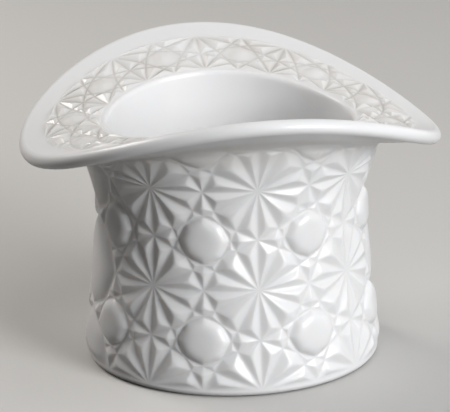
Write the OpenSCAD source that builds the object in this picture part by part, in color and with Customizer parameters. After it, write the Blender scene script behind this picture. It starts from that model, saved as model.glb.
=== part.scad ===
// Glass hat: a pressed milk-glass top hat that stands on its crown and is open at the brim.
// Millimetres, Z up, origin in the middle of the resting face.
// X runs through the two drooping brim tips, Y through the two turned-up sides.
// The hat is one pressing. Its zones are separate solids that meet face to face:
// base, patterned crown wall, brim with its flared collar, and the rounded rim.

/* [Crown] */
// Radius at the waist, measured in the pattern grooves
waist_r = 37.5; // [36:0.1:40]
// Height of the waist above the resting face
waist_z = 46; // [38:0.5:54]
// Radius at the foot, measured in the pattern grooves
foot_r = 41.8; // [39:0.1:44]
// Height of the plain rounded foot under the pattern
foot_h = 1.5; // [1:0.1:3]
// Height of one row of daisies
row_pitch = 28; // [24:0.5:31]

/* [Inside] */
// Radius of the smooth bore where it meets the brim
bore_r = 34.8; // [32:0.1:36]
// Radius of the bore at the floor
floor_r = 33; // [30:0.1:34.5]
// Thickness of the glass under the floor
floor_t = 6; // [4:0.1:9]
// Radius of the round corner between floor and bore
floor_corner = 5; // [2:0.1:8]
// Depth of the shallow recess under the base
recess = 1; // [0.4:0.1:1.4]

/* [Pattern] */
// Rise of the facets for each millimetre away from a groove
relief = 0.58; // [0.3:0.01:0.75]
// Height of the round buttons over the grooves
button_rise = 1.8; // [1:0.1:2.6]
// Height of the plain lobes in the two seam columns
lobe_rise = 1.4; // [0.8:0.1:2.4]
// Steepness of the brim facets as a share of the crown facets
brim_relief = 1; // [0.5:0.01:1.1]
// Height of the small buttons on the brim over the grooves
brim_button = 0.7; // [0.3:0.1:1.4]

/* [Brim] */
// Overall length through the drooping tips
tip_span = 118.4; // [112:0.2:124]
// Overall width through the turned-up sides
side_span = 120.4; // [112:0.2:126]
// Mean height of the middle of the rim
rim_z = 71.2; // [68:0.2:76]
// How far the rim rises at the sides and droops at the tips
rim_lift = 9.1; // [6:0.1:11]
// Mean height of the edge of the opening
open_z = 70.4; // [68:0.2:73]
// How far the edge of the opening rises at the sides
open_lift = 2.5; // [1:0.1:4]
// Thickness of the brim, measured upright
brim_t = 4.3; // [3.4:0.1:5.2]
// Radius where the brim pattern starts
band_in = 36.2; // [35.6:0.1:38]
// Radius where the brim pattern ends
band_out = 52.4; // [48:0.1:53.4]
// How much the collar flares below the brim
collar_flare = 3.3; // [1.5:0.1:4.2]
// Height from the mean rim down to the end of the crown pattern
collar_drop = 6.2; // [5.4:0.1:8]

/* [Rim] */
// Radius of the rounded rim
rim_r = 2.1; // [1.7:0.1:2.6]

/* [Hidden] */

glass = [0.94, 0.94, 0.93];
columns = 8;
rows = 2;
brim_columns = 12;
segments = 96;
rim_steps = 12;
collar_steps = 4;

row_top = foot_h + rows * row_pitch;
plug_r = floor_r - floor_corner;
bore_top = rim_z + rim_lift + 4 * rim_r;
bore_slope = (bore_r - floor_r) / (open_z - floor_t - floor_corner);
bore_end_r = bore_r + bore_slope * (bore_top - open_z);
recess_r = plug_r + 5;
core_gap = 1.5;
core_r = floor_r - core_gap;
collar_lift = open_lift + 1.4;
collar_run = 17;
collar_reach = 6;
brim_bend = 0.6;
rim_top_turn = 105;
rim_under_turn = -130;
shoulders = [0.86, 0.68, 0.4];
dome_power = 3.2;

// Height share of the saddle: 1 at the turned-up sides, -1 at the drooping tips.
// Turns are measured from the middle of the front, which faces -Y.
function saddle(t) = cos(2 * t);
function polar(r, t, z) = [r * sin(t), -r * cos(t), z];

// Crown outline in the pattern grooves
function collar_z(t) = rim_z - collar_drop + collar_lift * saddle(t);
function waist_swell(z) = pow(abs(z - waist_z) / (waist_z - foot_h), 1.5);
function collar_swell(z, t) = pow(max(0, 1 - (collar_z(t) - z) / collar_run), 2);
function groove_r(z, t) =
    waist_r + (foot_r - waist_r) * waist_swell(z) + collar_flare * collar_swell(z, t);

// The half row above the wall is fitted between the wall and the collar
function row_z(v, t) =
    v <= rows ? foot_h + row_pitch * v : row_top + 2 * (v - rows) * (collar_z(t) - row_top);
function foot_fade(v) = min(1, 0.3 + 6 * v);

function crown_at(u, v, h) =
    let (t = (u % columns) * 360 / columns)
    let (z = row_z(v, t))
    polar(groove_r(z, t) + h * foot_fade(v), t, z);

// Middle line of the rim and the slope with which the brim runs into it
function rim_mid_r(t) =
    let (a = tip_span / 2 - rim_r)
    let (b = side_span / 2 - rim_r)
    1 / sqrt(pow(sin(t) / a, 2) + pow(cos(t) / b, 2));
function rim_mid_z(t) = rim_z + rim_lift * saddle(t);
function open_edge_z(t) = open_z + open_lift * saddle(t);
function rim_slope(t) =
    atan((2 - brim_bend) * (rim_mid_z(t) - open_edge_z(t)) / (rim_mid_r(t) - bore_r));

// A point of the rim outline: turn 0 points outward along the brim, 90 upward from it
function rim_at(t, turn) =
    let (a = rim_slope(t) + turn)
    [rim_mid_r(t) + rim_r * cos(a), rim_mid_z(t) + rim_r * sin(a)];

// Smooth top face of the brim between the opening and the rim
function brim_z(r, t) =
    let (e = rim_at(t, rim_top_turn))
    let (w = (r - bore_r) / (e[0] - bore_r))
    open_edge_z(t) + (e[1] - open_edge_z(t)) * (brim_bend * w + (1 - brim_bend) * w * w);
function brim_tilt(r, t) = atan((brim_z(r + 0.1, t) - brim_z(r - 0.1, t)) / 0.2);

function brim_at(u, v, h) =
    let (t = (u % brim_columns) * 360 / brim_columns)
    let (r = band_in + (band_out - band_in) * v)
    let (a = brim_tilt(r, t))
    polar(r - h * sin(a), t, brim_z(r, t) + h * cos(a));

// The pattern: straight V grooves cross at the daisies and at small six-rayed stars.
// A quarter of a repeat, mirrored, gives the whole pattern; its corner 0,0 is a daisy,
// its corner 1/2,1/2 is the middle of a button.
daisy = [0, 0];
star_u = [1/2, 0];
star_v = [0, 1/2];
cross_u = [2/5, 1/5];
cross_v = [1/5, 2/5];
corner = [1/3, 1/3];
edge_u = [1/2, 1/4];
edge_v = [1/4, 1/2];
button = [1/2, 1/2];
grooves = [
    daisy, star_u / 2, star_u, cross_u / 2, cross_u, cross_v / 2, cross_v,
    star_v / 2, star_v, corner, edge_u, edge_v
];

function side(p, q) = norm(q - p);
function incentre(p, q, r) =
    (side(q, r) * p + side(r, p) * q + side(p, q) * r) / (side(q, r) + side(r, p) + side(p, q));
function from_groove(p, a, b) = abs(cross(b - a, p - a)) / side(a, b);

// Peaks stand where the facets of one field meet
wedge_peak = incentre(daisy, star_u, cross_u);
kite_peak = [1/4, 1/4];
star_peak = [1/2, 1/6];
small_peak = incentre(cross_u, edge_u, corner);
wedge_rise = from_groove(wedge_peak, daisy, star_u);
kite_rise = from_groove(kite_peak, daisy, cross_u);
star_rise = from_groove(star_peak, star_u, cross_u);
small_rise = from_groove(small_peak, cross_u, edge_u);

function swap(p) = [p[1], p[0]];
function raised(p, h) = [p[0], p[1], h];
function dome(s) = 1 - pow(s, dome_power);

// Points of a quarter as [u, v, height]; k is the rise of the facets over one repeat
function peak_points(k) = [
    raised(wedge_peak, k * wedge_rise), raised(swap(wedge_peak), k * wedge_rise),
    raised(kite_peak, k * kite_rise),
    raised(star_peak, k * star_rise), raised(swap(star_peak), k * star_rise),
    raised(small_peak, k * small_rise), raised(swap(small_peak), k * small_rise)
];
function button_points(h) = [
    for (s = shoulders)
        for (p = [edge_v, corner, edge_u])
            raised(button + s * (p - button), h * dome(s)),
    raised(button, h)
];
function lobe_points(h) = [
    for (s = shoulders)
        for (p = [star_u, cross_u, corner, cross_v, star_v])
            raised(s * p, h * dome(s)),
    raised(daisy, h)
];
function daisy_quarter(k, h) = concat(
    [for (p = grooves) raised(p, 0)],
    peak_points(k),
    button_points(h)
);
function lobe_quarter(k, h, lobe) = concat(daisy_quarter(k, h), lobe_points(lobe));

// Places of the point groups in a quarter
first_peak = len(grooves);
first_ring = first_peak + 7;
button_top = first_ring + 3 * len(shoulders);
first_lobe = button_top + 1;
lobe_top = first_lobe + 5 * len(shoulders);

function fan(edge, top) = [for (k = [1:len(edge) - 1]) [edge[k - 1], edge[k], top]];
function loop_fan(edge, top) = fan(concat(edge, [edge[0]]), top);
function band(a, b) = [
    for (k = [1:len(a) - 1])
        each [[a[k - 1], a[k], b[k]], [a[k - 1], b[k], b[k - 1]]]
];
function ring_of(first, count, k) = [for (i = [0:count - 1]) first + count * k + i];
function domed(edge, first, top) =
    let (n = len(edge))
    let (last = len(shoulders) - 1)
    let (rings = concat([edge], [for (k = [0:last]) ring_of(first, n, k)]))
    concat(
        [for (k = [0:last]) each band(rings[k], rings[k + 1])],
        fan(rings[last + 1], top)
    );

wedge_faces = concat(
    loop_fan([0, 1, 2, 4, 3], first_peak),
    loop_fan([0, 5, 6, 8, 7], first_peak + 1)
);
kite_faces = loop_fan([0, 3, 4, 9, 6, 5], first_peak + 2);
star_faces = concat(
    fan([10, 4, 2], first_peak + 3),
    fan([8, 6, 11], first_peak + 4)
);
small_faces = concat(
    loop_fan([4, 10, 9], first_peak + 5),
    loop_fan([6, 9, 11], first_peak + 6)
);
button_faces = domed([11, 9, 10], first_ring, button_top);
lobe_faces = domed([2, 4, 9, 6, 8], first_lobe, lobe_top);
shared_faces = concat(star_faces, small_faces, button_faces);
daisy_faces = concat(wedge_faces, kite_faces, shared_faces);
seam_faces = concat(lobe_faces, shared_faces);

// Meshes are kept as [points, faces] and joined at the end
function mirrored(i, p) = i % 2 == 0 ? i / 2 + p : (i + 1) / 2 - p;
function turned(faces, yes) = yes ? [for (f = faces) [f[0], f[2], f[1]]] : faces;
function in_seam(i) = floor((i + 1) / 2) % (columns / 2) == columns / 4;

crown_k = relief * row_pitch;
brim_k = relief * (band_out - band_in) * brim_relief;

function crown_patch(i, j) =
    let (cell = lobe_quarter(crown_k, button_rise, lobe_rise))
    [
        [for (p = cell) crown_at(mirrored(i, p[0]), mirrored(j, p[1]), p[2])],
        turned(in_seam(i) ? seam_faces : daisy_faces, (i + j) % 2 == 0)
    ];
function brim_patch(i, j) =
    let (cell = daisy_quarter(brim_k, brim_button))
    [
        [for (p = cell) brim_at(mirrored(i, p[0]), mirrored(j, p[1]), p[2])],
        turned(daisy_faces, (i + j) % 2 == 1)
    ];

// A ring is [turns, points], in order round the hat
function even_turns() = [for (k = [0:segments - 1]) 360 * k / segments];
function ring(turns, points) = [turns, points];
function even_ring(points) = ring(even_turns(), points);

// Edge of the crown pattern at row height v, as places along one column
function edge_line(v) = let (
    half = v == rows + 1/2
        ? [[0, 0], [1/6, crown_k * star_rise], [1/4, 0],
           for (s = shoulders) [1/2 - s / 4, button_rise * dome(s)], [1/2, button_rise]]
        : [[0, 0], [1/4, 0], [1/2, 0]]
    ) half;
function lobe_line() = concat(
    [[0, lobe_rise]],
    [for (k = [len(shoulders) - 1:-1:0]) [shoulders[k] / 2, lobe_rise * dome(shoulders[k])]],
    [[1/2, 0]]
);
function half_line(i, v) = v < rows + 1/2 && in_seam(i) ? lobe_line() : edge_line(v);
function crown_line(v) = [
    for (i = [0:2 * columns - 1])
        let (line = half_line(i, v))
        let (n = len(line))
        for (k = [0:n - 2])
            let (p = line[i % 2 == 0 ? k : n - 1 - k])
            [mirrored(i, p[0]), p[1]]
];
function crown_ring(v) =
    let (line = crown_line(v))
    ring(
        [for (p = line) p[0] * 360 / columns],
        [for (p = line) crown_at(p[0], v, p[1])]
    );
function brim_ring(v) =
    let (us = [for (k = [0:4 * brim_columns - 1]) k / 4])
    ring(
        [for (u = us) u * 360 / brim_columns],
        [for (u = us) brim_at(u, v, 0)]
    );

// Triangles between two rings, advancing on whichever ring has the nearer next turn
function next_turn(l, k) = k < len(l) ? l[k] : l[k - len(l)] + 360;
function takes_a(p, a, b) =
    p[1] == len(b) || (p[0] < len(a) && next_turn(a, p[0] + 1) <= next_turn(b, p[1] + 1));
function stepped(p, a, b) = takes_a(p, a, b) ? [p[0] + 1, p[1]] : [p[0], p[1] + 1];
function strip_face(p, a, b) =
    let (n = len(a))
    let (m = len(b))
    takes_a(p, a, b)
        ? [p[0] % n, n + p[1] % m, (p[0] + 1) % n]
        : [p[0] % n, n + p[1] % m, n + (p[1] + 1) % m];
function strip(a, b) = [
    concat(a[1], b[1]),
    [
        for (p = [0, 0]; p[0] + p[1] < len(a[0]) + len(b[0]); p = stepped(p, a[0], b[0]))
            strip_face(p, a[0], b[0])
    ]
];
function lid(a, up) =
    let (n = len(a[1]))
    [a[1], [[for (k = [0:n - 1]) up ? n - 1 - k : k]]];
function flat_cap(a, r, z, up) =
    let (inner = even_ring([for (t = even_turns()) polar(r, t, z)]))
    [up ? strip(a, inner) : strip(inner, a), lid(inner, up)];
function peak_cap(a, top) =
    let (n = len(a[1]))
    [concat(a[1], [top]), [for (k = [0:n - 1]) [k, n, (k + 1) % n]]];

function starts(m) = [for (k = 0, s = 0; k < len(m); s = s + len(m[k][0]), k = k + 1) s];
function joined(m) =
    let (o = starts(m))
    [
        [for (part = m) each part[0]],
        [for (k = [0:len(m) - 1]) for (f = m[k][1]) [for (i = f) i + o[k]]]
    ];

module solid_of(m) {
    polyhedron(points = m[0], faces = m[1], convexity = 10);
}

// Rings of the brim, from the collar out along the underside and back over the top
function under_z(r, t) = brim_z(r, t) - brim_t;
function collar_point(t, s) =
    let (z0 = collar_z(t))
    let (r0 = groove_r(z0, t))
    let (p1 = [r0 + 1, under_z(r0 + 1, t)])
    let (p2 = [r0 + collar_reach, under_z(r0 + collar_reach, t)])
    (1 - s) * (1 - s) * [r0, z0] + 2 * s * (1 - s) * p1 + s * s * p2;
function under_mid(t) =
    let (e = rim_at(t, rim_under_turn))
    let (r = (collar_point(t, 1)[0] + e[0]) / 2)
    [r, (under_z(r, t) + (collar_point(t, 1)[1] + e[1]) / 2) / 2];
function top_mid(t) =
    let (r = (band_out + rim_at(t, rim_top_turn)[0]) / 2)
    [r, brim_z(r, t)];
function ring_through(points) =
    let (turns = even_turns())
    even_ring([for (k = [0:segments - 1]) polar(points[k][0], turns[k], points[k][1])]);

collar_rings = [
    for (s = [1:collar_steps])
        ring_through([for (t = even_turns()) collar_point(t, s / collar_steps)])
];
under_ring = ring_through([for (t = even_turns()) under_mid(t)]);
rim_under_ring = ring_through([for (t = even_turns()) rim_at(t, rim_under_turn)]);
rim_top_ring = ring_through([for (t = even_turns()) rim_at(t, rim_top_turn)]);
top_ring = ring_through([for (t = even_turns()) top_mid(t)]);
core_ring = ring_through([for (t = even_turns()) [core_r, brim_z(core_r, t)]]);
rim_rings = [
    for (k = [0:rim_steps])
        let (turn = rim_under_turn + (rim_top_turn - rim_under_turn) * k / rim_steps)
        ring_through([for (t = even_turns()) rim_at(t, turn)])
];

function strips(rings) = [for (k = [1:len(rings) - 1]) strip(rings[k - 1], rings[k])];

// Shape of the plunger that pressed the inside, run on down through the seat of the base plug
module plunger() {
    rotate_extrude($fn = segments) {
        polygon([
            [0, -foot_h], [plug_r, -foot_h], [plug_r, floor_t + floor_corner],
            [floor_r, floor_t + floor_corner], [bore_end_r, bore_top], [0, bore_top]
        ]);
        translate([plug_r, floor_t + floor_corner])
            circle(r = floor_corner, $fn = segments);
    }
}

module base() {
    color(glass)
    rotate_extrude($fn = segments) {
        polygon([
            [0, recess], [recess_r, recess], [recess_r + recess, 0], [foot_r - foot_h, 0],
            [foot_r - foot_h, foot_h], [plug_r, foot_h], [plug_r, floor_t], [0, floor_t]
        ]);
        intersection() {
            translate([foot_r - foot_h, foot_h])
                circle(r = foot_h, $fn = segments);
            translate([foot_r - foot_h, 0])
                square(foot_h);
        }
    }
}

module crown_wall() {
    color(glass)
    difference() {
        solid_of(joined(concat(
            flat_cap(crown_ring(0), plug_r - core_gap, foot_h, false),
            flat_cap(crown_ring(rows), core_r, row_top, true),
            [for (j = [0:2 * rows - 1]) for (i = [0:2 * columns - 1]) crown_patch(i, j)]
        )));
        plunger();
    }
}

module brim() {
    color(glass)
    difference() {
        solid_of(joined(concat(
            flat_cap(crown_ring(rows), core_r, row_top, false),
            [for (i = [0:2 * columns - 1]) crown_patch(i, 2 * rows)],
            strips(concat([crown_ring(rows + 1/2)], collar_rings, [under_ring, rim_under_ring])),
            strips([rim_under_ring, rim_top_ring]),
            strips([rim_top_ring, top_ring, brim_ring(1)]),
            [for (j = [0:1]) for (i = [0:2 * brim_columns - 1]) brim_patch(i, j)],
            strips([brim_ring(0), core_ring]),
            [peak_cap(core_ring, [0, 0, open_z])]
        )));
        plunger();
    }
}

module rim() {
    color(glass)
    solid_of(joined(concat(
        strips(rim_rings),
        strips([rim_top_ring, rim_under_ring])
    )));
}

base();
crown_wall();
brim();
rim();
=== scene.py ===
"""Looks of the glass hat: fire-polished milk glass with a pressed daisy-and-button pattern.

The four glass zones are built again from the construction's own sizes. The ridges and
grooves are softened as a polished pressing has them, the buttons have flatter tops, the
facets on the brim are a little steeper, and the edge of the opening is rounded.

Sizes are in millimetres, and turns in radians from the middle of the front, which faces -Y.
In the functions, r is a radius, t a turn and z a height, s a place along a profile, and
u and v count repeats of the pattern round the hat and across it.
"""

import math

import bpy
import numpy as np
from mathutils import Matrix, Vector


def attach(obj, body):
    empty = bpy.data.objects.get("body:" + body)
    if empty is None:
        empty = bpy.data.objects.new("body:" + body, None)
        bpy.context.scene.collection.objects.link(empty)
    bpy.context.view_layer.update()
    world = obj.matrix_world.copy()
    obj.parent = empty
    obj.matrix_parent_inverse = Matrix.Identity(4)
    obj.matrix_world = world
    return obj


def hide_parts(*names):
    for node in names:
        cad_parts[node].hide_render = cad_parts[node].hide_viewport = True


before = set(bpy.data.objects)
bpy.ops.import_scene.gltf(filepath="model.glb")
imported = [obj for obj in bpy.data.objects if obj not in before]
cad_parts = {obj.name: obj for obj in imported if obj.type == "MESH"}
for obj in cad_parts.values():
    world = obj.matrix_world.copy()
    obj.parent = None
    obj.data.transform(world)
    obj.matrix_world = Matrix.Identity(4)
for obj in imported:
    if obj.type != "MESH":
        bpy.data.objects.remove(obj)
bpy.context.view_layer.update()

MM = 0.001
TAU = 2 * math.pi

# Crown
WAIST_R, WAIST_Z, SWELL_POWER = 37.5, 46.0, 1.5
FOOT_R, FOOT_H = 41.8, 1.5
PITCH, ROWS, COLUMNS = 28.0, 2, 8
ROW_TOP = FOOT_H + ROWS * PITCH
SEAM_COLUMNS = (2, 6)

# Inside and underside
BORE_R, FLOOR_R, FLOOR_T, FLOOR_CORNER = 34.8, 33.0, 6.0, 5.0
PLUG_R = FLOOR_R - FLOOR_CORNER
RECESS, RECESS_R = 1.0, PLUG_R + 5.0
RECESS_EDGE_IN, RECESS_EDGE_RUN = 0.5, 2.2
EDGE_ROUND, EDGE_DROP = 0.9, 1.6

# Pattern of the crown, with the part of a repeat over which it fades out at the foot
RELIEF, BUTTON_RISE, LOBE_RISE = 0.58, 1.8, 1.4
CROWN_K = RELIEF * PITCH
RIDGE_POWER, GROOVE_SOFT = 8.0, 0.015
OUTLINE_POWER, ROUND_R = 32.0, 0.48
DOME_POWER, DOME_SOFT, DOME_SHARE = 4.8, 0.2, 0.97
FOOT_FADE = 0.12

# Brim and rim
TIP_SPAN, SIDE_SPAN = 118.4, 120.4
RIM_Z, RIM_LIFT, RIM_R = 71.2, 9.1, 2.1
OPEN_Z, OPEN_LIFT = 70.4, 2.5
BRIM_T, BRIM_BEND = 4.3, 0.6
RIM_TOP, RIM_UNDER = math.radians(105), math.radians(-130)

# Pattern of the brim
BAND_IN, BAND_OUT, BRIM_COLUMNS = 36.2, 52.4, 12
BAND_WIDTH = BAND_OUT - BAND_IN
BRIM_RELIEF = 1.25
BRIM_K = RELIEF * BAND_WIDTH * BRIM_RELIEF
BRIM_BUTTON, BRIM_BUTTON_R, BRIM_BUTTON_POWER = 0.7, 3.4, 1.5
BRIM_RIDGE_POWER, BRIM_GROOVE_SOFT = 9.0, 0.012

# Collar from the crown to the underside of the brim
COLLAR_FLARE, COLLAR_DROP, COLLAR_RUN = 3.3, 6.2, 17.0
COLLAR_CORNER, COLLAR_REACH = 1.0, 6.0
COLLAR_LIFT = OPEN_LIFT + 1.4
COLLAR_ROOM, TOP_REACH = 5.0, 1.35

# Marks on the mesh: width of the shade painted into the brim's grooves, where that painted shade
# fades out, and where the spread of light fades
GROOVE_WIDTH, GROOVE_FADE, GROOVE_DEPTH = 0.024, 0.1, 0.05
SPREAD_FROM, SPREAD_TO = 0.3, 3.5

# Steps of the meshes along each profile, and how closely points agree that are one
AROUND = 192
FOOT_STEPS, FLOOR_STEPS, BORE_STEPS = 9, 13, 9
UNDER_STEPS, TOP_STEPS, RIM_STEPS, OPENING_STEPS = 9, 7, 29, 5
EDGE_PLACES = [0, 0.5, 1, 1.2, 1.4, 1.6, 1.8, 2]
SLOPE_STEP = 0.1
PLACE_DIGITS, ROW_DIGITS = 7, 9
POINTS_PER_MM = 1e4
TINY = 1e-6

BORE_SLOPE = (BORE_R - FLOOR_R) / (OPEN_Z - FLOOR_T - FLOOR_CORNER)


# Shape of the hat without its pattern

def saddle(t):
    """1 at the front and the back and -1 at the drooping tips."""
    return np.cos(2 * t)


def polar(r, t, z):
    """Points in the hat's frame."""
    return np.stack(np.broadcast_arrays(r * np.sin(t), -r * np.cos(t), z), -1)


def smooth(x, low, high):
    """Soft step from 0 at low to 1 at high."""
    w = np.clip((x - low) / (high - low), 0, 1)
    return w * w * (3 - 2 * w)


def collar_z(t):
    """Height where the wall ends and the collar starts."""
    return RIM_Z - COLLAR_DROP + COLLAR_LIFT * saddle(t)


def groove_r(z, t):
    """Radius of the crown at the bottom of its grooves."""
    swell = np.abs(z - WAIST_Z) / (WAIST_Z - FOOT_H)
    flare = np.clip(1 - (collar_z(t) - z) / COLLAR_RUN, 0, None)
    return WAIST_R + (FOOT_R - WAIST_R) * swell ** SWELL_POWER + COLLAR_FLARE * flare ** 2


def rim_mid(t):
    """Radius and height of the middle of the rim's bead."""
    a, b = TIP_SPAN / 2 - RIM_R, SIDE_SPAN / 2 - RIM_R
    r = 1 / np.sqrt((np.sin(t) / a) ** 2 + (np.cos(t) / b) ** 2)
    return r, RIM_Z + RIM_LIFT * saddle(t)


def open_edge_z(t):
    """Height of the edge of the opening."""
    return OPEN_Z + OPEN_LIFT * saddle(t)


def rim_at(t, turn):
    """Point of the bead, turned up or down from the way the brim runs."""
    r, z = rim_mid(t)
    slope = np.arctan((2 - BRIM_BEND) * (z - open_edge_z(t)) / (r - BORE_R))
    return r + RIM_R * np.cos(slope + turn), z + RIM_R * np.sin(slope + turn)


def brim_z(r, t):
    """Top of the brim without its pattern."""
    er, ez = rim_at(t, RIM_TOP)
    w = (r - BORE_R) / (er - BORE_R)
    return open_edge_z(t) + (ez - open_edge_z(t)) * (BRIM_BEND * w + (1 - BRIM_BEND) * w * w)


def under_z(r, t):
    """Underside of the brim."""
    return brim_z(r, t) - BRIM_T


def bore_r(z):
    """Radius of the inside, which narrows downwards."""
    return BORE_R + BORE_SLOPE * (z - OPEN_Z)


# Pressed pattern

def pair(x, y):
    """Place in a quarter of a repeat, from the middle of a daisy at (0, 0)."""
    return np.array([x, y], float)


DAISY, STAR_U, STAR_V = pair(0, 0), pair(1 / 2, 0), pair(0, 1 / 2)
CROSS_U, CROSS_V = pair(2 / 5, 1 / 5), pair(1 / 5, 2 / 5)
CORNER, BUTTON = pair(1 / 3, 1 / 3), pair(1 / 2, 1 / 2)
EDGE_U, EDGE_V = pair(1 / 2, 1 / 4), pair(1 / 4, 1 / 2)


def swapped(points):
    """The same places mirrored in the quarter's diagonal."""
    return [p[::-1] for p in points]


def incentre(p, q, r):
    """Point of a triangle that is equally far from its three sides."""
    a, b, c = (np.linalg.norm(x) for x in (q - r, r - p, p - q))
    return (a * p + b * q + c * r) / (a + b + c)


WEDGE = [DAISY, STAR_U, CROSS_U]
KITE = [DAISY, CROSS_U, CORNER, CROSS_V]
STAR = [STAR_U, pair(3 / 5, 1 / 5), EDGE_U, CROSS_U]
SMALL = [CROSS_U, EDGE_U, CORNER]
WEDGE_PEAK, SMALL_PEAK = incentre(*WEDGE), incentre(*SMALL)
KITE_PEAK, STAR_PEAK = pair(1 / 4, 1 / 4), pair(1 / 2, 1 / 6)
FIELDS = [WEDGE, swapped(WEDGE), KITE, STAR, swapped(STAR), SMALL, swapped(SMALL)]


def sides_of(field):
    """Pairs of corners round a field."""
    return list(zip(field, field[1:] + field[:1]))


def edge_distances(field, a, b):
    """Distances from the grooves round a field, positive inside it."""
    out = []
    middle = sum(field) / len(field)
    for p, q in sides_of(field):
        d = q - p
        n = pair(-d[1], d[0]) / np.linalg.norm(d)
        if n @ (middle - p) < 0:
            n = -n
        out.append((a - p[0]) * n[0] + (b - p[1]) * n[1])
    return np.array(out)


def octagon_gauge(x, y):
    """0 in the middle of a button, 1 on its eight-sided outline, and rounder towards the middle."""
    sides = np.array([2 * x + y, x + 2 * y, np.abs(2 * x - y), np.abs(2 * y - x)])
    eight = (sides ** OUTLINE_POWER).sum(0) ** (1 / OUTLINE_POWER)
    return eight ** 3 * eight + (1 - eight ** 3) * np.hypot(x, y) / ROUND_R


def dome(s, rise):
    """Flat-topped dome that runs out softly into the groove round it."""
    h = rise * np.clip(1 - (s / DOME_SHARE) ** DOME_POWER, 0, None)
    return np.sqrt(h * h + DOME_SOFT * DOME_SOFT) - DOME_SOFT


def pattern(u, v, k, ridge_power, groove_soft):
    """Height of the facets over their grooves.

    Also gives the column, the place in its quarter and whether that is in a button.
    """
    column = np.round(u)
    a, b = np.abs(u - column), np.abs(v - np.round(v))
    depths, heights = [], []
    for field in FIELDS:
        d = edge_distances(field, a, b)
        depths.append(d.min(0))
        near = np.clip(d, TINY, None)
        heights.append(k * (near ** -ridge_power).sum(0) ** (-1 / ridge_power))
    best = np.array(depths).argmax(0)
    h = np.take_along_axis(np.array(heights), best[None], 0)[0]
    in_button = np.maximum(3 / 2 - 2 * a - b, 3 / 2 - a - 2 * b) < 1 / 2
    h = np.where(in_button, 0, h)
    soft = k * groove_soft
    return np.sqrt(h * h + soft * soft) - soft, column, a, b, in_button


def crown_pattern(u, v):
    """Height of the crown's daisies, buttons and seam lobes over the grooves."""
    h, column, a, b, in_button = pattern(u, v, CROWN_K, RIDGE_POWER, GROOVE_SOFT)
    h = np.where(in_button, dome(octagon_gauge(1 - 2 * a, 1 - 2 * b), BUTTON_RISE), h)
    in_lobe = np.isin(column % COLUMNS, SEAM_COLUMNS) & (np.maximum(2 * a + b, a + 2 * b) < 1)
    return np.where(in_lobe, dome(octagon_gauge(a, b), LOBE_RISE), h)


def brim_pattern(u, v):
    """Height of the brim's daisies and round buttons over the grooves."""
    h, _, a, b, _ = pattern(u, v, BRIM_K, BRIM_RIDGE_POWER, BRIM_GROOVE_SOFT)
    r = BAND_IN + BAND_WIDTH * v
    across = (1 / 2 - a) * r * TAU / BRIM_COLUMNS
    along = (1 / 2 - b) * BAND_WIDTH
    s = np.hypot(across, along) / BRIM_BUTTON_R
    return h + BRIM_BUTTON * np.clip(1 - s * s, 0, None) ** BRIM_BUTTON_POWER


def collar_curve(t, s):
    """Point and outward normal of the collar that runs from the crown under the brim."""
    z0 = collar_z(t)
    r0 = groove_r(z0, t)
    r1, r2 = r0 + COLLAR_CORNER, r0 + COLLAR_REACH
    z1, z2 = under_z(r1, t), under_z(r2, t)
    r = (1 - s) ** 2 * r0 + 2 * s * (1 - s) * r1 + s * s * r2
    z = (1 - s) ** 2 * z0 + 2 * s * (1 - s) * z1 + s * s * z2
    dr = (1 - s) * (r1 - r0) + s * (r2 - r1)
    dz = (1 - s) * (z1 - z0) + s * (z2 - z1)
    size = np.hypot(dr, dz)
    return r, z, dz / size, -dr / size


def collar_room(t):
    """Height between the top of the wall and the underside of the brim."""
    z0 = collar_z(t)
    return under_z(groove_r(z0, t) + COLLAR_CORNER, t) - z0


HALF_ROW_END = ROWS + 1 / 2


def crown_surface(u, v):
    """Outside of the crown for v up to 2, and from there up the wall and collar to v 3.

    The rise above the upper row is 1 at the top of the wall and 2 at the end of the collar.
    """
    t = u * TAU / COLUMNS
    rise = np.interp(v, [ROWS, HALF_ROW_END, ROWS + 1], [0, TOP_REACH, 2])
    s = np.clip(rise - 1, 0, 1)
    tight = 1 - np.clip(collar_room(t) / COLLAR_ROOM, 0, 1)
    fade = (1 - tight * smooth(rise, 0, 1)) * (1 - s) ** 2
    h = crown_pattern(u, v) * smooth(v, 0, FOOT_FADE) * fade
    wall = np.minimum(rise, 1) * (collar_z(t) - ROW_TOP)
    z = FOOT_H + PITCH * np.minimum(v, ROWS) + wall
    rc, zc, nr, nz = collar_curve(t, s)
    lean = smooth(rise, 0, 1)
    nr, nz = 1 + lean * (nr - 1), lean * nz
    above = rise > 1
    r = np.where(above, rc, groove_r(z, t))
    return polar(r + h * nr, t, np.where(above, zc, z) + h * nz)


def brim_surface(u, v):
    """Patterned band on top of the brim, v 0 at its inner edge and 1 at its outer."""
    t = u * TAU / BRIM_COLUMNS
    r = BAND_IN + BAND_WIDTH * v
    h = brim_pattern(u, np.clip(v, 0, 1))
    step = brim_z(r + SLOPE_STEP, t) - brim_z(r - SLOPE_STEP, t)
    tilt = np.arctan(step / (2 * SLOPE_STEP))
    return polar(r - h * np.sin(tilt), t, brim_z(r, t) + h * np.cos(tilt))


def normals_of(surface, u, v, flip, step=0.0015):
    """Normals of a surface at places of its pattern."""
    du = surface(u + step, v) - surface(u - step, v)
    dv = surface(u, v + step) - surface(u, v - step)
    n = np.cross(du, dv) * (-1 if flip else 1)
    return n / np.linalg.norm(n, axis=1, keepdims=True)


# Meshes

# Shares along a groove, up a facet and across a dome at which the meshes have points
ALONG = np.array([0, 0.06, 0.18, 0.38, 0.62, 0.82, 0.94, 1])
UP = np.array([0, 0.05, 0.14, 0.34, 0.66, 1])
RINGS = np.array([1, 0.965, 0.92, 0.86, 0.78, 0.68, 0.54, 0.36, 0.18])


def side_points(p, q):
    """Points from p to q, closer together near the ends."""
    return p + ALONG[:, None] * (q - p)


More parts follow.
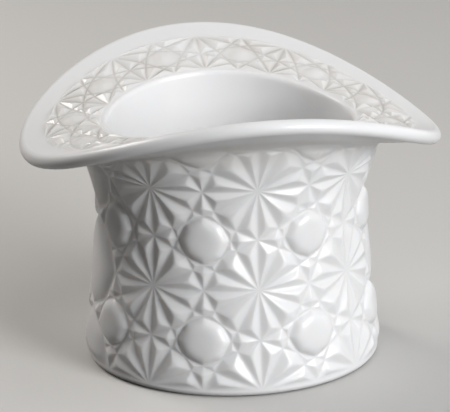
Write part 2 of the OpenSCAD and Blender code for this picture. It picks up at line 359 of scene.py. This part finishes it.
class Template:
    """Points and faces of a quarter of a repeat, in pattern places."""

    def __init__(self):
        self.points, self.faces, self.known = [], [], {}

    def point(self, p):
        """Number of the point at a place, which is added if it is new."""
        key = (round(p[0], PLACE_DIGITS), round(p[1], PLACE_DIGITS))
        if key not in self.known:
            self.known[key] = len(self.points)
            self.points.append(p)
        return self.known[key]

    def rows(self, rows):
        """Faces between rows of points, with points that fall together made one."""
        ids = [[self.point(p) for p in row] for row in rows]
        for low, high in zip(ids, ids[1:]):
            for k in range(len(low) - 1):
                face = []
                for i in (low[k], low[k + 1], high[k + 1], high[k]):
                    if i not in face:
                        face.append(i)
                if len(face) > 2:
                    self.faces.append(face)

    def field(self, sides, peak):
        """Facets that rise from the sides of a field to its peak."""
        for p, q in sides:
            base = side_points(p, q)
            self.rows([base + s * (peak - base) for s in UP])

    def domed(self, corners, middle):
        """Rings from the outline of a button or lobe in to its middle."""
        sides = [side_points(p, q) for p, q in zip(corners, corners[1:])]
        base = np.concatenate([sides[0]] + [s[1:] for s in sides[1:]])
        self.rows([middle + s * (base - middle) for s in [*RINGS, 0]])


def quarter(lobe):
    """Points and faces of a quarter with its part of a daisy, or of a seam's lobe."""
    q = Template()
    for turn in (list, swapped):
        if not lobe:
            q.field(sides_of(turn(WEDGE)), turn([WEDGE_PEAK])[0])
        star = turn([STAR_U, CROSS_U, EDGE_U])
        q.field(list(zip(star, star[1:])), turn([STAR_PEAK])[0])
        q.field(sides_of(turn(SMALL)), turn([SMALL_PEAK])[0])
    if lobe:
        q.domed([STAR_U, CROSS_U, CORNER, CROSS_V, STAR_V], DAISY)
    else:
        q.field(sides_of(KITE), KITE_PEAK)
    q.domed([EDGE_V, CORNER, EDGE_U], BUTTON)
    return np.array(q.points), q.faces


QUARTERS = {False: quarter(False), True: quarter(True)}


def in_seam(i, columns):
    """Whether quarter i of a row is in a seam column."""
    return (i + 1) // 2 % columns in SEAM_COLUMNS


class Skin:
    """Closed mesh with one normal at each face corner."""

    def __init__(self):
        self.points, self.known, self.faces, self.normals = [], {}, [], []

    def add(self, points, normals, faces):
        """Adds faces turned the way of their normals, with points that are there already shared."""
        ids = []
        keys = np.round(points * POINTS_PER_MM).astype(int).tolist()
        for key, p in zip(keys, points):
            i = self.known.setdefault(tuple(key), len(self.points))
            if i == len(self.points):
                self.points.append(p)
            ids.append(i)
        ids = np.array(ids)
        for corners in (3, 4):
            f = np.array([x for x in faces if len(x) == corners], int).reshape(-1, corners)
            p, n = points[f], normals[f]
            turn = np.cross(p[:, 2] - p[:, 0], p[:, -1] - p[:, 1])
            wrong = (turn * n.sum(1)).sum(1) < 0
            f = np.where(wrong[:, None], f[:, ::-1], f)
            self.faces.extend(ids[f].tolist())
            self.normals.append(normals[f].reshape(-1, 3))

    def patches(self, surface, columns, rows, seams, flip):
        """Quarters of the pattern on a surface, row after row."""
        for j in rows:
            for i in range(2 * columns):
                seam = seams and in_seam(i, columns)
                places, faces = QUARTERS[seam]
                u, v = mirrored(i, places[:, 0]), mirrored(j, places[:, 1])
                self.add(surface(u, v), normals_of(surface, u, v, flip), faces)

    def loft(self, rings):
        """Bands between rings of [turns, points, normals]."""
        for (ta, pa, na), (tb, pb, nb) in zip(rings, rings[1:]):
            faces, i, j, n, m = [], 0, 0, len(ta), len(tb)
            while i < n or j < m:
                next_a = ta[(i + 1) % n] + TAU * ((i + 1) // n)
                next_b = tb[(j + 1) % m] + TAU * ((j + 1) // m)
                a, b = i % n, n + j % m
                if i < n and j < m and abs(next_a - next_b) < TINY:
                    faces.append([a, (i + 1) % n, n + (j + 1) % m, b])
                    i, j = i + 1, j + 1
                elif j == m or (i < n and next_a < next_b):
                    faces.append([a, (i + 1) % n, b])
                    i += 1
                else:
                    faces.append([a, n + (j + 1) % m, b])
                    j += 1
            self.add(np.concatenate([pa, pb]), np.concatenate([na, nb]), faces)

    def lid(self, ring, normal):
        """Flat round face inside a ring."""
        turns, points, _ = ring
        middle = points.mean(0)
        n = len(turns)
        faces = [[k, (k + 1) % n, n] for k in range(n)]
        self.add(np.vstack([points, middle]), np.tile(normal, (n + 1, 1)), faces)


def mirrored(i, p):
    """Place in the whole row of a place in quarter i, every second one mirrored."""
    return i / 2 + p if i % 2 == 0 else (i + 1) / 2 - p


EVEN = np.arange(AROUND) * TAU / AROUND


def profile_rings(curve, turns, places):
    """Rings of the surface whose curve gives r and z, with normals to the right of its run."""
    rings = []
    step = 1e-3
    for s in places:
        low, high = max(s - step, places[0]), min(s + step, places[-1])
        p = polar(*as_polar(curve, turns, s))
        ds = polar(*as_polar(curve, turns, high)) - polar(*as_polar(curve, turns, low))
        dt = polar(*as_polar(curve, turns + step, s)) - polar(*as_polar(curve, turns - step, s))
        n = np.cross(dt, ds)
        rings.append([turns, p, n / np.linalg.norm(n, axis=1, keepdims=True)])
    return rings


def turned(rings):
    """The same rings with their normals the other way."""
    return [[t, p, -n] for t, p, n in rings]


def even_places(steps):
    """Places from 0 to 1 along a profile."""
    return np.linspace(0, 1, steps)


def as_polar(curve, t, s):
    """What polar takes, for one place on a curve all the way round."""
    r, z = curve(t, s)
    return r + 0 * t, t, z + 0 * t


def surface_ring(surface, columns, us, v, flip):
    """Ring of mesh points that a pattern ends with, at one v."""
    u, v = np.array(us), np.full(len(us), float(v))
    return [u * TAU / columns, surface(u, v), normals_of(surface, u, v, flip)]


def with_normal(ring, normal):
    """The same ring with one normal for all its points."""
    return [ring[0], ring[1], np.tile(normal, (len(ring[0]), 1))]


def pattern_places(columns, seams):
    """Places of the mesh points along a row of daisies."""
    places = set()
    for i in range(2 * columns):
        seam = seams and in_seam(i, columns)
        marks = np.array([*RINGS, 0]) if seam else ALONG
        for p in mirrored(i, marks / 2):
            places.add(round(p % columns, ROW_DIGITS))
    return sorted(places)


UPWARD, DOWNWARD = (0.0, 0.0, 1.0), (0.0, 0.0, -1.0)
CROWN_PLACES = pattern_places(COLUMNS, True)
PLAIN_PLACES = pattern_places(BRIM_COLUMNS, False)
CROWN_TURNS = np.array(CROWN_PLACES) * TAU / COLUMNS


def line(*points):
    """Curve through points of (r, z), place 0 at the first and 1 more at each next."""
    table = np.array(points, float)
    marks = np.arange(len(points))

    def at(t, s):
        return np.interp(s, marks, table[:, 0]), np.interp(s, marks, table[:, 1])
    return at


def plug_rings():
    """Side of the part of the base that stands inside the crown wall."""
    return profile_rings(line((PLUG_R, FOOT_H), (PLUG_R, FLOOR_T)), CROWN_TURNS, [0, 1])


def base_skin():
    """Foot, recess, and the floor on its plug."""
    skin = Skin()

    def foot(t, s):
        a = -math.pi / 2 + s * math.pi / 2
        return FOOT_R - FOOT_H + FOOT_H * math.cos(a), FOOT_H + FOOT_H * math.sin(a)

    def recess(t, s):
        return RECESS_R - RECESS_EDGE_IN + RECESS_EDGE_RUN * s, RECESS * (1 - smooth(s, 0, 1))

    hollow = profile_rings(recess, CROWN_TURNS, even_places(FOOT_STEPS))
    edge = profile_rings(foot, CROWN_TURNS, even_places(FOOT_STEPS))
    skin.lid(with_normal(hollow[0], DOWNWARD), DOWNWARD)
    skin.loft(hollow)
    skin.loft([with_normal(hollow[-1], DOWNWARD), with_normal(edge[0], DOWNWARD)])
    skin.loft(edge)
    seat = profile_rings(line((FOOT_R, FOOT_H), (PLUG_R, FOOT_H)), CROWN_TURNS, [0, 1])
    plug = plug_rings()
    skin.loft([with_normal(seat[0], UPWARD), with_normal(seat[1], UPWARD)])
    skin.loft(plug)
    skin.lid(plug[-1], UPWARD)
    return skin


def wall_skin():
    """Patterned crown below the upper row's middle, with its bore and round corner."""
    skin = Skin()
    skin.patches(crown_surface, COLUMNS, range(2 * ROWS), True, False)
    foot = surface_ring(crown_surface, COLUMNS, CROWN_PLACES, 0, False)
    top = surface_ring(crown_surface, COLUMNS, CROWN_PLACES, ROWS, False)

    def floor_corner(t, s):
        a = -math.pi / 2 + s * math.pi / 2
        return (
            PLUG_R + FLOOR_CORNER * math.cos(a),
            FLOOR_T + FLOOR_CORNER + FLOOR_CORNER * math.sin(a)
        )

    def bore_side(t, s):
        low = FLOOR_T + FLOOR_CORNER
        z = low + s * (ROW_TOP - low)
        return bore_r(z), z

    plug = turned(plug_rings())
    bore = turned(profile_rings(bore_side, CROWN_TURNS, even_places(BORE_STEPS)))
    skin.loft([with_normal(foot, DOWNWARD), with_normal(plug[0], DOWNWARD)])
    skin.loft(plug)
    skin.loft(turned(profile_rings(floor_corner, CROWN_TURNS, even_places(FLOOR_STEPS))))
    skin.loft(bore)
    skin.loft([with_normal(bore[-1], UPWARD), with_normal(top, UPWARD)])
    return skin


def brim_under(t, s):
    """Underside from the collar out to the rim."""
    start, _, _, _ = collar_curve(t, 1.0)
    er, ez = rim_at(t, RIM_UNDER)
    r = start + s * (er - start)
    return r, under_z(r, t) + s * s * (ez - under_z(er, t))


def brim_top(t, s):
    """Plain top from the patterned band out to the rim."""
    er, _ = rim_at(t, RIM_TOP)
    r = BAND_OUT + s * (er - BAND_OUT)
    return r, brim_z(r, t)


def opening_edge(t, s):
    """From the brim pattern in to the opening and round its polished edge."""
    z = open_edge_z(t)
    start = BORE_R + EDGE_ROUND
    if s <= 1:
        r = BAND_IN + s * (start - BAND_IN)
        return r, brim_z(r, t)
    w = s - 1
    r0, z0, r2, z2 = start, brim_z(start, t), bore_r(z - EDGE_DROP), z - EDGE_DROP
    r = (1 - w) ** 2 * r0 + 2 * w * (1 - w) * bore_r(z) + w * w * r2
    return r, (1 - w) ** 2 * z0 + 2 * w * (1 - w) * z + w * w * z2


def opening_bore(t, s):
    """Bore from under the polished edge down to the crown wall."""
    z = open_edge_z(t) - EDGE_DROP
    z = z + s * (ROW_TOP - z)
    return bore_r(z), z


def brim_skin():
    """Collar with the upper half row, underside, patterned top, and bore."""
    skin = Skin()
    skin.patches(crown_surface, COLUMNS, (2 * ROWS, 2 * ROWS + 1), True, False)
    skin.patches(brim_surface, BRIM_COLUMNS, (0, 1), False, True)
    seat = surface_ring(crown_surface, COLUMNS, CROWN_PLACES, ROWS, False)
    collar = surface_ring(crown_surface, COLUMNS, CROWN_PLACES, ROWS + 1, False)
    under = profile_rings(brim_under, EVEN, even_places(UNDER_STEPS))
    skin.loft([collar, *under[1:]])
    joint_low, joint_high = under[-1], profile_rings(brim_top, EVEN, [0, 1])[1]
    outward = polar(np.ones(AROUND), EVEN, np.zeros(AROUND))
    skin.loft([[EVEN, joint_low[1], outward], [EVEN, joint_high[1], outward]])
    band = surface_ring(brim_surface, BRIM_COLUMNS, PLAIN_PLACES, 1, True)
    top = turned(profile_rings(brim_top, EVEN, even_places(TOP_STEPS)))
    skin.loft([band, *top[1:]])
    inner = surface_ring(brim_surface, BRIM_COLUMNS, PLAIN_PLACES, 0, True)
    edge = profile_rings(opening_edge, EVEN, EDGE_PLACES)
    skin.loft([inner, *edge[1:]])
    bore = profile_rings(opening_bore, EVEN, even_places(OPENING_STEPS))
    bore_end = profile_rings(opening_bore, CROWN_TURNS, [0, 1])[1]
    skin.loft([edge[-1], *bore[1:-1], bore_end])
    skin.loft([with_normal(bore_end, DOWNWARD), with_normal(seat, DOWNWARD)])
    return skin


def rim_skin():
    """Round bead, closed where it meets the brim."""
    skin = Skin()

    def bead(t, s):
        return rim_at(t, RIM_UNDER + s * (RIM_TOP - RIM_UNDER))

    rings = profile_rings(bead, EVEN, even_places(RIM_STEPS))
    inward = -polar(np.ones(AROUND), EVEN, np.zeros(AROUND))
    skin.loft(rings)
    skin.loft([[EVEN, rings[-1][1], inward], [EVEN, rings[0][1], inward]])
    return skin


def groove_shade_share(skin):
    """Share of painted shade: 1 at the bottom of the brim's grooves and 0 on its facets and
    buttons.
    """
    x, y, z = np.array(skin.points).T
    r, t = np.hypot(x, y), np.arctan2(x, -y)
    u, v = t * BRIM_COLUMNS / TAU, (r - BAND_IN) / BAND_WIDTH
    a, b = np.abs(u - np.round(u)), np.abs(v - np.round(v))
    away = np.max([edge_distances(field, a, b).min(0) for field in FIELDS], axis=0)
    inside = 1 / 2 - np.maximum(3 / 2 - 2 * a - b, 3 / 2 - a - 2 * b)
    away = np.where(inside > 0, inside / math.sqrt(5), np.clip(away, 0, None))
    edge = smooth(v, 0, GROOVE_FADE) * (1 - smooth(v, 1 - GROOVE_FADE, 1))
    on_top = z > brim_z(r, t) - GROOVE_DEPTH
    return np.where(on_top, np.exp(-away / GROOVE_WIDTH) * edge, 0)


def deep_share(skin):
    """0 where a piece meets the next one and 1 away from there."""
    x, y, z = np.array(skin.points).T
    r, t = np.hypot(x, y), np.arctan2(x, -y)
    edge, _ = rim_at(t, RIM_TOP)
    away = np.minimum(np.minimum(np.abs(z - ROW_TOP), np.abs(z - FOOT_H)), np.abs(edge - r))
    return smooth(away, SPREAD_FROM, SPREAD_TO)


# Materials

GLASS_INDEX, GLASS_SPECULAR = 1.5, 0.4
COAT, COAT_ROUGHNESS = 0.15, 0.16
SPREAD_SHARE, SPREAD_DEPTH, SPREAD_RADIUS = 0.9, 1.8, (1.0, 0.95, 0.9)
CLOUD_SCALE, CLOUD_DETAIL, CLOUD_TWIST = 38, 3, 0.8
CLOUD_DARK, CLOUD_LIGHT = (0.87, 0.87, 0.875, 1), (0.91, 0.91, 0.915, 1)
# Noise that makes both the band's warmer tone and the shade painted into its grooves uneven
STAIN_AND_SHADE_SCALE, STAIN_AND_SHADE_DETAIL, STAIN_AND_SHADE_RANGE, STAIN_AND_SHADE_SHARE = 55, 2, (0.3, 0.7), (0.25, 1)
# Colour of the band's warmer tone, and the painted shade for the bottoms of its grooves
BAND_COLOR, GROOVE_SHADE_COLOR = (0.84, 0.825, 0.80, 1), (0.54, 0.515, 0.48, 1)
BAND_BEYOND, BAND_INSIDE, BAND_HEIGHT = 0.8, 2.5, (63, 67)
POLISH_SCALE, POLISH_DETAIL, ROUGHNESS = 90, 2, (0.26, 0.40)
WAVE_SCALE, WAVE_DETAIL, WAVE_STRENGTH, WAVE_HEIGHT = 260, 1, 0.25, 0.12

# The floor is pale to the eye and throws little light up at the glass
FLOOR_ROUGHNESS = 0.75
FLOOR_LIGHT_GIVEN, FLOOR_SEEN = (0.04, 0.037, 0.034, 1), (0.70, 0.69, 0.67, 1)


class Tree:
    """Nodes of a material or of the world, and short ways to add and join them."""

    def __init__(self, owner):
        owner.use_nodes = True
        self.nodes, self.links = owner.node_tree.nodes, owner.node_tree.links

    def add(self, kind, **settings):
        node = self.nodes.new(kind)
        for name, value in settings.items():
            setattr(node, name, value)
        return node

    def fill(self, node, inputs):
        """Joins each input to an output, or sets it to a plain value."""
        for name, value in inputs.items():
            if isinstance(value, bpy.types.NodeSocket):
                self.links.new(value, node.inputs[name])
            else:
                node.inputs[name].default_value = value

    def math(self, operation, *values):
        node = self.add("ShaderNodeMath", operation=operation)
        self.fill(node, dict(enumerate(values)))
        return node.outputs[0]

    def noise(self, place, scale, detail, twist=0):
        node = self.add("ShaderNodeTexNoise")
        self.fill(node, {"Vector": place, "Scale": scale, "Detail": detail, "Distortion": twist})
        return node.outputs["Fac"]

    def ranged(self, value, source=(0, 1), target=(0, 1), curve="LINEAR"):
        """A value carried from one range to another."""
        node = self.add("ShaderNodeMapRange", interpolation_type=curve)
        self.fill(node, {"Value": value, "From Min": source[0], "From Max": source[1]})
        self.fill(node, {"To Min": target[0], "To Max": target[1]})
        return node.outputs["Result"]

    def mixed(self, share, a, b):
        node = self.add("ShaderNodeMix", data_type="RGBA")
        self.fill(node, {"Factor": share, "A": a, "B": b})
        return node.outputs["Result"]

    def mark(self, name):
        """A value that the mesh carries at its points."""
        return self.add("ShaderNodeAttribute", attribute_name=name).outputs["Fac"]


def brim_band(tree, place):
    """1 in the patterned band on top of the brim and 0 away from it."""
    flat = tree.add("ShaderNodeVectorMath", operation="MULTIPLY")
    tree.fill(flat, {0: place, 1: (1, 1, 0)})
    reach = tree.add("ShaderNodeVectorMath", operation="LENGTH")
    tree.fill(reach, {0: flat.outputs["Vector"]})
    height = tree.add("ShaderNodeSeparateXYZ")
    tree.fill(height, {0: place})
    middle = (BAND_IN + BAND_OUT) / 2 * MM
    away = tree.math("ABSOLUTE", tree.math("SUBTRACT", reach.outputs["Value"], middle))
    ends = ((BAND_WIDTH / 2 + BAND_BEYOND) * MM, (BAND_WIDTH / 2 - BAND_INSIDE) * MM)
    across = tree.ranged(away, ends, curve="SMOOTHSTEP")
    levels = [z * MM for z in BAND_HEIGHT]
    upper = tree.ranged(height.outputs["Z"], levels, curve="SMOOTHSTEP")
    return tree.math("MULTIPLY", across, upper)


def milk_glass():
    material = bpy.data.materials.new("milk_glass")
    tree = Tree(material)
    place = tree.add("ShaderNodeTexCoord").outputs["Object"]

    # Faint clouds in the glass
    cloud = tree.noise(place, CLOUD_SCALE, CLOUD_DETAIL, CLOUD_TWIST)
    white = tree.mixed(cloud, CLOUD_DARK, CLOUD_LIGHT)

    # The patterned band on top of the brim is a little warmer than the polished glass
    stain_and_shade = tree.ranged(tree.noise(place, STAIN_AND_SHADE_SCALE, STAIN_AND_SHADE_DETAIL), STAIN_AND_SHADE_RANGE, STAIN_AND_SHADE_SHARE)
    warm = tree.mixed(tree.math("MULTIPLY", brim_band(tree, place), stain_and_shade), white, BAND_COLOR)

    # Painted shade: the bottoms of that band's grooves are painted darker, unevenly, as shade falls
    # in them
    painted_groove_shade = tree.math("MULTIPLY", tree.mark("groove"), stain_and_shade)

    # Polish varies a little from place to place, over slow waves of the surface
    polish = tree.noise(place, POLISH_SCALE, POLISH_DETAIL)
    wave = tree.noise(place, WAVE_SCALE, WAVE_DETAIL)
    bump = tree.add("ShaderNodeBump")
    tree.fill(bump, {"Strength": WAVE_STRENGTH, "Distance": WAVE_HEIGHT * MM, "Height": wave})

    # Light spreads inside the glass, away from where the pieces meet
    tree.fill(tree.nodes["Principled BSDF"], {
        "Base Color": tree.mixed(painted_groove_shade, warm, GROOVE_SHADE_COLOR),
        "Roughness": tree.ranged(polish, target=ROUGHNESS),
        "Normal": bump.outputs["Normal"],
        "IOR": GLASS_INDEX,
        "Specular IOR Level": GLASS_SPECULAR,
        "Subsurface Weight": tree.ranged(tree.mark("deep"), target=(0, SPREAD_SHARE)),
        "Subsurface Radius": SPREAD_RADIUS,
        "Subsurface Scale": SPREAD_DEPTH * MM,
        "Coat Weight": COAT,
        "Coat Roughness": COAT_ROUGHNESS,
    })
    return material


def looked_at(tree):
    """1 for what the eye sees straight, in a reflection or through glass."""
    path = tree.add("ShaderNodeLightPath")
    seen = path.outputs["Is Camera Ray"]
    for kind in ("Is Glossy Ray", "Is Transmission Ray"):
        seen = tree.math("MAXIMUM", seen, path.outputs[kind])
    return seen


def floor_material():
    material = bpy.data.materials.new("pale_floor")
    tree = Tree(material)
    color = tree.mixed(looked_at(tree), FLOOR_LIGHT_GIVEN, FLOOR_SEEN)
    tree.fill(tree.nodes["Principled BSDF"], {"Base Color": color, "Roughness": FLOOR_ROUGHNESS})
    return material


GLASS = milk_glass()


def piece(name, skin, node, **marks):
    """Makes the visible piece that stands for a node."""
    mesh = bpy.data.meshes.new(name)
    mesh.from_pydata([tuple(p * MM) for p in skin.points], [], skin.faces)
    mesh.polygons.foreach_set("use_smooth", [True] * len(mesh.polygons))
    mesh.normals_split_custom_set(np.concatenate(skin.normals).tolist())
    mesh.materials.append(GLASS)
    for mark, values in marks.items():
        mesh.attributes.new(mark, "FLOAT", "POINT").data.foreach_set("value", values)
    obj = bpy.data.objects.new(name, mesh)
    bpy.context.scene.collection.objects.link(obj)
    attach(obj, "root")
    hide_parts(node)


piece("glass_base", base_skin(), "base")
wall, brim = wall_skin(), brim_skin()
piece("glass_crown_wall", wall, "crown_wall", deep=deep_share(wall))
# The brim also carries where shade is painted into its grooves
piece("glass_brim", brim, "brim", deep=deep_share(brim), groove=groove_shade_share(brim))
piece("glass_rim", rim_skin(), "rim")


# Stage, light and camera

FLOOR_HALF, FLOOR_Z = 6.0, -0.0002
COOL, WARM = (0.985, 0.992, 1.0), (1.0, 0.96, 0.92)
AIM = Vector((0, 0, 0.04))

# Name, place as seen in the picture, size in metres, power in watts and colour
LAMPS = [
    ("key", (0.68, -0.70, 0.36), 0.50, 8.6, COOL),
    ("fill", (0.70, 0.80, 0.36), 1.00, 1.5, COOL),
    ("side", (-0.74, 0.26, 0.74), 0.35, 2.5, WARM),
    ("rear", (-0.58, 0.55, 0.68), 0.28, 2.7, WARM),
    ("top", (0.34, -0.28, 0.86), 0.80, 2.0, COOL),
]

# The world is pale to the eye and lights the hat only dimly
DIM_COLOR, DIM_STRENGTH = (*WARM, 1), 0.02
PALE_COLOR = (0.66, 0.65, 0.64, 1)

# Camera: how the hat is turned to it, which way it looks, and where it stands
VIEW_TURN = math.radians(10.95)
YAW, DIP, ROLL = math.radians(-0.14), math.radians(17.14), math.radians(-0.83)
EYE = Vector((-129.0, -666.8, 251.4)) * MM
LENS, SENSOR_WIDTH, NEAREST, FURTHEST = 200, 36, 0.01, 50


def flat_sheet(name, half, z, material):
    """Level square, half of its side given."""
    mesh = bpy.data.meshes.new(name)
    corners = [(-half, -half, z), (half, -half, z), (half, half, z), (-half, half, z)]
    mesh.from_pydata(corners, [], [(0, 1, 2, 3)])
    mesh.materials.append(material)
    obj = bpy.data.objects.new(name, mesh)
    bpy.context.scene.collection.objects.link(obj)
    return obj


flat_sheet("floor", FLOOR_HALF, FLOOR_Z, floor_material())


def from_view(x, y, z):
    """Turns a direction seen in the picture (x right, y away, z up) into the hat's frame."""
    c, s = math.cos(VIEW_TURN), math.sin(VIEW_TURN)
    return Vector((x * c + y * s, -x * s + y * c, z))


def lamp(name, place, size, power, color):
    data = bpy.data.lights.new(name, "AREA")
    data.shape = "DISK"
    data.size = size
    data.energy = power
    data.color = color
    obj = bpy.data.objects.new(name, data)
    obj.location = from_view(*place)
    obj.rotation_euler = (obj.location - AIM).to_track_quat("Z", "Y").to_euler()
    bpy.context.scene.collection.objects.link(obj)


for facts in LAMPS:
    lamp(*facts)

world = bpy.data.worlds.new("studio")
bpy.context.scene.world = world
studio = Tree(world)
dim = studio.nodes["Background"]
studio.fill(dim, {"Color": DIM_COLOR, "Strength": DIM_STRENGTH})
pale = studio.add("ShaderNodeBackground")
studio.fill(pale, {"Color": PALE_COLOR})
sky = studio.add("ShaderNodeMixShader")
studio.fill(sky, {0: looked_at(studio), 1: dim.outputs[0], 2: pale.outputs[0]})
studio.fill(studio.nodes["World Output"], {"Surface": sky.outputs["Shader"]})

ahead = Vector((math.sin(YAW) * math.cos(DIP), math.cos(YAW) * math.cos(DIP), -math.sin(DIP)))
level = Vector((math.cos(YAW), -math.sin(YAW), 0))
above = level.cross(ahead)
right = math.cos(ROLL) * level + math.sin(ROLL) * above
upward = -math.sin(ROLL) * level + math.cos(ROLL) * above
axes = [from_view(*right), from_view(*upward), from_view(*-ahead)]
camera = bpy.data.cameras.new("camera")
camera.lens, camera.sensor_width, camera.sensor_fit = LENS, SENSOR_WIDTH, "HORIZONTAL"
camera.clip_start, camera.clip_end = NEAREST, FURTHEST
eye = bpy.data.objects.new("camera", camera)
pose = Matrix([[a[k] for a in axes] for k in range(3)]).to_4x4()
pose.translation = EYE
eye.matrix_world = pose
bpy.context.scene.collection.objects.link(eye)
bpy.context.scene.camera = eye

bpy.context.scene.view_settings.view_transform = "Standard"
